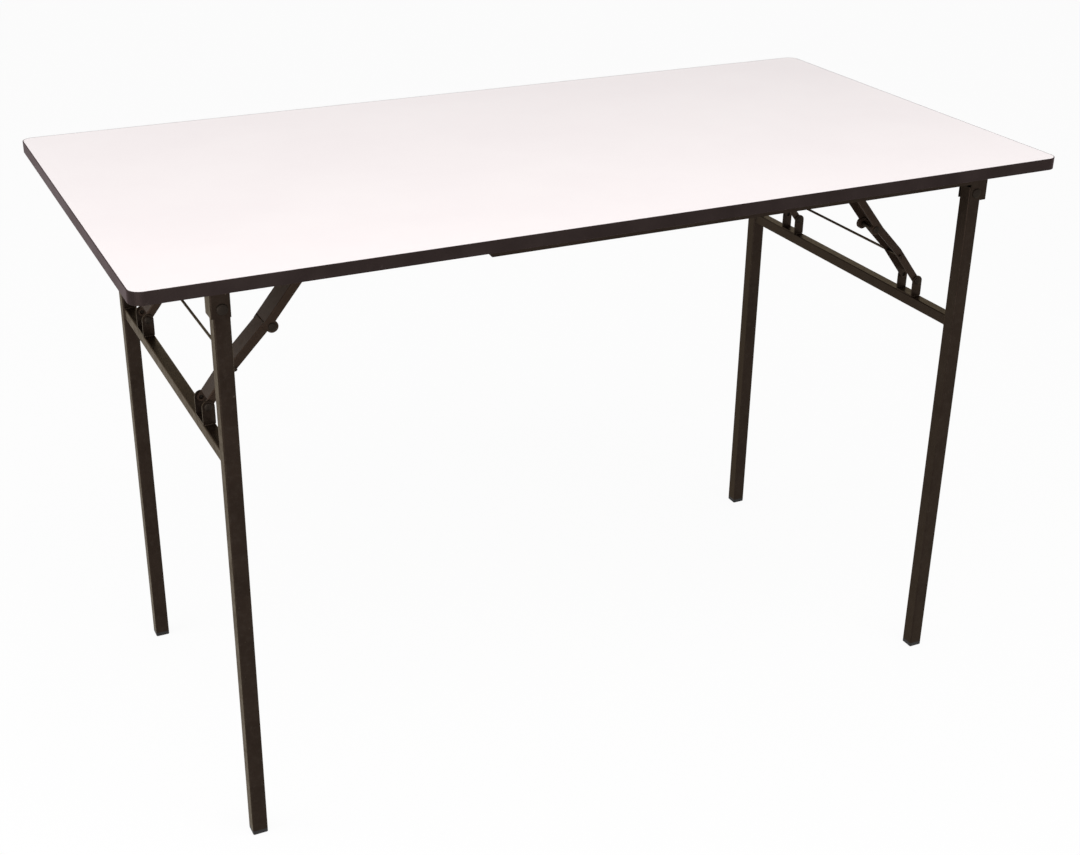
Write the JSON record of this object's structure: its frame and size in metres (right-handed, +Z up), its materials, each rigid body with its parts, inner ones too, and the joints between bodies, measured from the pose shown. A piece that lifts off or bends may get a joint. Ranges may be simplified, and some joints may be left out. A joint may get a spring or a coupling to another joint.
{
  "type": "folding banquet table",
  "caption": "Folding banquet table: white laminate top with dark edge moulding on square-tube leg frames that fold flat under it, held open by jointed channel braces",
  "frame": {"origin": "floor level under the centre of the tabletop", "axes": "X along the length of the top toward the right-hand end of the picture, Y away from the viewer across the top, Z up"},
  "size_m": [1.2, 0.612, 0.753],
  "materials": {
    "laminate": "smooth white high-pressure laminate",
    "board": "pressed board, sealed underside",
    "edge_moulding": "dark brown extruded edge moulding",
    "frame_paint": "dark bronze satin enamel on mild steel",
    "fastener_steel": "dark-plated steel pins and screws",
    "foot_plastic": "moulded plastic end cap"
  },
  "bodies": {
    "table_top": {"top_core": "board", "top_laminate": "laminate", "edge_band": "edge_moulding", "front_runner": "frame_paint", "back_runner": "frame_paint", "runner_screws": "fastener_steel", "bracket_screws": "fastener_steel", "anchor_screws": "fastener_steel", "leg_pivot_pins": "fastener_steel", "anchor_pins": "fastener_steel", "left_front_leg_bracket": "frame_paint", "left_front_brace_anchor": "frame_paint", "left_back_leg_bracket": "frame_paint", "left_back_brace_anchor": "frame_paint", "right_front_leg_bracket": "frame_paint", "right_front_brace_anchor": "frame_paint", "right_back_leg_bracket": "frame_paint", "right_back_brace_anchor": "frame_paint"},
    "left_leg_frame": {"left_cross_rail": "frame_paint", "left_front_leg": "frame_paint", "left_front_foot": "foot_plastic", "left_front_fork": "frame_paint", "left_back_leg": "frame_paint", "left_back_foot": "foot_plastic", "left_back_fork": "frame_paint", "left_fork_rivets": "fastener_steel"},
    "left_upper_braces": {"left_front_upper_link": "frame_paint", "left_back_upper_link": "frame_paint", "left_elbow_pins": "fastener_steel"},
    "left_lower_braces": {"left_front_lower_link": "frame_paint", "left_back_lower_link": "frame_paint", "left_release_rod": "frame_paint"},
    "right_leg_frame": {"right_cross_rail": "frame_paint", "right_front_leg": "frame_paint", "right_front_foot": "foot_plastic", "right_front_fork": "frame_paint", "right_back_leg": "frame_paint", "right_back_foot": "foot_plastic", "right_back_fork": "frame_paint", "right_fork_rivets": "fastener_steel"},
    "right_upper_braces": {"right_front_upper_link": "frame_paint", "right_back_upper_link": "frame_paint", "right_elbow_pins": "fastener_steel"},
    "right_lower_braces": {"right_front_lower_link": "frame_paint", "right_back_lower_link": "frame_paint", "right_release_rod": "frame_paint"}
  },
  "joints": [
    {"name": "left_leg_fold", "type": "hinge", "parent": "table_top", "child": "left_leg_frame", "pos_m": [-0.495, 0, 0.702], "axis": [0, -1, 0], "range_deg": [0, 90]},
    {"name": "left_upper_brace_swing", "type": "hinge", "parent": "table_top", "child": "left_upper_braces", "pos_m": [-0.347, 0, 0.725], "axis": [0, -1, 0], "range_deg": [-41.48, 0]},
    {"name": "left_elbow_fold", "type": "hinge", "parent": "left_upper_braces", "child": "left_lower_braces", "pos_m": [-0.414, 0, 0.633], "axis": [0, -1, 0], "range_deg": [0, 175.52]},
    {"name": "right_leg_fold", "type": "hinge", "parent": "table_top", "child": "right_leg_frame", "pos_m": [0.513, 0, 0.702], "axis": [0, 1, 0], "range_deg": [0, 86]},
    {"name": "right_upper_brace_swing", "type": "hinge", "parent": "table_top", "child": "right_upper_braces", "pos_m": [0.365, 0, 0.725], "axis": [0, 1, 0], "range_deg": [-41.53, 0]},
    {"name": "right_elbow_fold", "type": "hinge", "parent": "right_upper_braces", "child": "right_lower_braces", "pos_m": [0.432, 0, 0.633], "axis": [0, 1, 0], "range_deg": [0, 170.28]}
  ],
  "couplings": [
    {"joint": "left_upper_brace_swing", "follows": "left_leg_fold", "ratio": -0.46081},
    {"joint": "left_elbow_fold", "follows": "left_leg_fold", "ratio": 1.9502},
    {"joint": "right_upper_brace_swing", "follows": "right_leg_fold", "ratio": -0.48274},
    {"joint": "right_elbow_fold", "follows": "right_leg_fold", "ratio": 1.9799}
  ]
}
